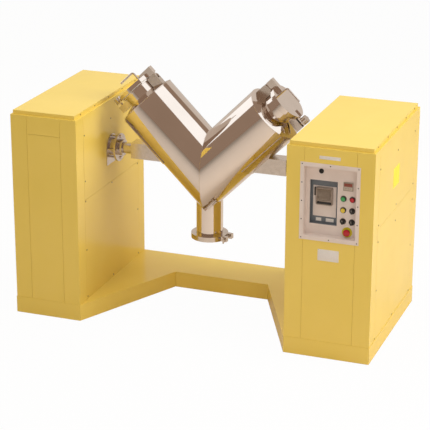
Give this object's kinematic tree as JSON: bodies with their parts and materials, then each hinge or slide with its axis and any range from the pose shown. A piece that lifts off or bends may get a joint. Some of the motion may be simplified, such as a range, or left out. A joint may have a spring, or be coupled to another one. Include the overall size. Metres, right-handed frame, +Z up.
{
  "type": "twin-shell v-blender",
  "caption": "Floor-standing V-blender: a polished twin-leg shell turns on trunnions between two sheet-metal cabinets on a notched base, with a recessed control panel.",
  "frame": {"origin": "centre of the base's footprint, on the floor", "axes": "+X from the left cabinet to the right cabinet along the trunnions, +Y to the back, +Z up"},
  "size_m": [2.214, 1.016, 1.4801],
  "materials": {
    "yellow_paint": "semi-gloss enamel",
    "mirror_steel": "mirror polished stainless steel",
    "satin_steel": "satin stainless steel",
    "turned_steel": "turned steel",
    "grey_iron": "painted casting",
    "grey_enamel": "enamel",
    "black_steel": "blackened steel",
    "gasket_rubber": "moulded",
    "pale_enamel": "satin enamel",
    "liner_grey": "satin enamel",
    "black_plastic": "moulded",
    "green_plastic": "moulded",
    "red_plastic": "moulded",
    "yellow_plastic": "moulded"
  },
  "bodies": {
    "frame": {"base_rails": "yellow_paint", "base_deck": "yellow_paint", "left_frame": "yellow_paint", "left_stiles": "yellow_paint", "left_front_panels": "yellow_paint", "left_inner_panels": "yellow_paint", "left_outer_panels": "yellow_paint", "left_back_panel": "yellow_paint", "left_lid": "yellow_paint", "right_frame": "yellow_paint", "right_stiles": "yellow_paint", "right_front_panels": "yellow_paint", "right_inner_panels": "yellow_paint", "right_outer_panels": "yellow_paint", "right_back_panel": "yellow_paint", "right_lid": "yellow_paint", "pedestals": "grey_iron", "bearings": "turned_steel", "guard_plates": "mirror_steel", "flange_bolts": "turned_steel", "gearbox": "grey_enamel", "motor": "grey_enamel", "motor_stand": "yellow_paint", "control_bezel": "pale_enamel", "control_pan": "pale_enamel", "instrument_liner": "liner_grey", "instrument_plate": "pale_enamel", "chart_instrument": "black_plastic", "display": "black_plastic", "switch_bodies": "black_plastic"},
    "shell": {"shell": "mirror_steel", "discharge_nozzle": "mirror_steel", "left_beam": "satin_steel", "right_beam": "satin_steel", "trunnion_shafts": "turned_steel", "shaft_collar": "black_steel", "coupling_flanges": "black_steel", "coupling_bolts": "turned_steel", "output_shaft": "turned_steel", "hinge_blocks": "satin_steel", "hinge_pins": "satin_steel", "latch_blocks": "satin_steel", "neck_gaskets": "gasket_rubber", "apex_bracket": "satin_steel"},
    "left_cover": {"left_cover": "mirror_steel", "left_handle": "mirror_steel"},
    "right_cover": {"right_cover": "mirror_steel", "right_handle": "mirror_steel"},
    "left_screw": {"left_latch_knob": "satin_steel"},
    "right_screw": {"right_latch_knob": "satin_steel"},
    "discharge_cap": {"discharge_cap": "satin_steel"},
    "wing_nut": {"clamp_wing_nut": "satin_steel"},
    "t_screw": {"apex_screw": "satin_steel"},
    "green_button": {"green_button": "green_plastic"},
    "red_button": {"red_button": "red_plastic"},
    "yellow_button": {"yellow_button": "yellow_plastic"},
    "selector_1": {"selector_1": "black_plastic"},
    "selector_2": {"selector_2": "black_plastic"},
    "selector_3": {"selector_3": "black_plastic"},
    "stop_button": {"stop_button": "red_plastic"}
  },
  "joints": [
    {"name": "shell_spin", "type": "hinge", "parent": "frame", "child": "shell", "pos_m": [-0.0445, 0, 0.955], "axis": [1, 0, 0], "continuous": true},
    {"name": "left_cover_hinge", "type": "hinge", "parent": "shell", "child": "left_cover", "pos_m": [-0.39381, 0, 1.417], "axis": [0, 1, 0], "range_deg": [0, 90]},
    {"name": "right_cover_hinge", "type": "hinge", "parent": "shell", "child": "right_cover", "pos_m": [0.30481, 0, 1.417], "axis": [0, -1, 0], "range_deg": [0, 90]},
    {"name": "left_screw_turn", "type": "hinge", "parent": "left_cover", "child": "left_screw", "pos_m": [-0.61584, 0, 1.23174], "axis": [-0.7071, 0, 0.7071], "range_deg": [0, 1080]},
    {"name": "right_screw_turn", "type": "hinge", "parent": "right_cover", "child": "right_screw", "pos_m": [0.52684, 0, 1.23174], "axis": [0.7071, 0, 0.7071], "range_deg": [0, 1080]},
    {"name": "discharge_cap_drop", "type": "slide", "parent": "shell", "child": "discharge_cap", "axis": [0, 0, -1], "range_m": [0, 0.1]},
    {"name": "wing_nut_turn", "type": "hinge", "parent": "discharge_cap", "child": "wing_nut", "pos_m": [0.07945, -0.01963, 0.4677], "axis": [0.1564, 0.9877, 0], "range_deg": [0, 720]},
    {"name": "t_screw_turn", "type": "hinge", "parent": "shell", "child": "t_screw", "pos_m": [0.02763, -0.0893, 0.70989], "axis": [0, -1, 0], "range_deg": [0, 720]},
    {"name": "green_button_press", "type": "slide", "parent": "frame", "child": "green_button", "axis": [0, 1, 0], "range_m": [0, 0.004], "stiffness_N_per_m": 400},
    {"name": "red_button_press", "type": "slide", "parent": "frame", "child": "red_button", "axis": [0, 1, 0], "range_m": [0, 0.004], "stiffness_N_per_m": 400},
    {"name": "yellow_button_press", "type": "slide", "parent": "frame", "child": "yellow_button", "axis": [0, 1, 0], "range_m": [0, 0.004], "stiffness_N_per_m": 400},
    {"name": "selector_1_turn", "type": "hinge", "parent": "frame", "child": "selector_1", "pos_m": [0.96977, -0.4605, 0.89252], "axis": [0, 1, 0], "range_deg": [-45, 45]},
    {"name": "selector_2_turn", "type": "hinge", "parent": "frame", "child": "selector_2", "pos_m": [0.91777, -0.4605, 0.82602], "axis": [0, 1, 0], "range_deg": [-45, 45]},
    {"name": "selector_3_turn", "type": "hinge", "parent": "frame", "child": "selector_3", "pos_m": [0.96977, -0.4605, 0.82602], "axis": [0, 1, 0], "range_deg": [-45, 45]},
    {"name": "stop_button_press", "type": "slide", "parent": "frame", "child": "stop_button", "axis": [0, 1, 0], "range_m": [0, 0.006], "stiffness_N_per_m": 500}
  ]
}
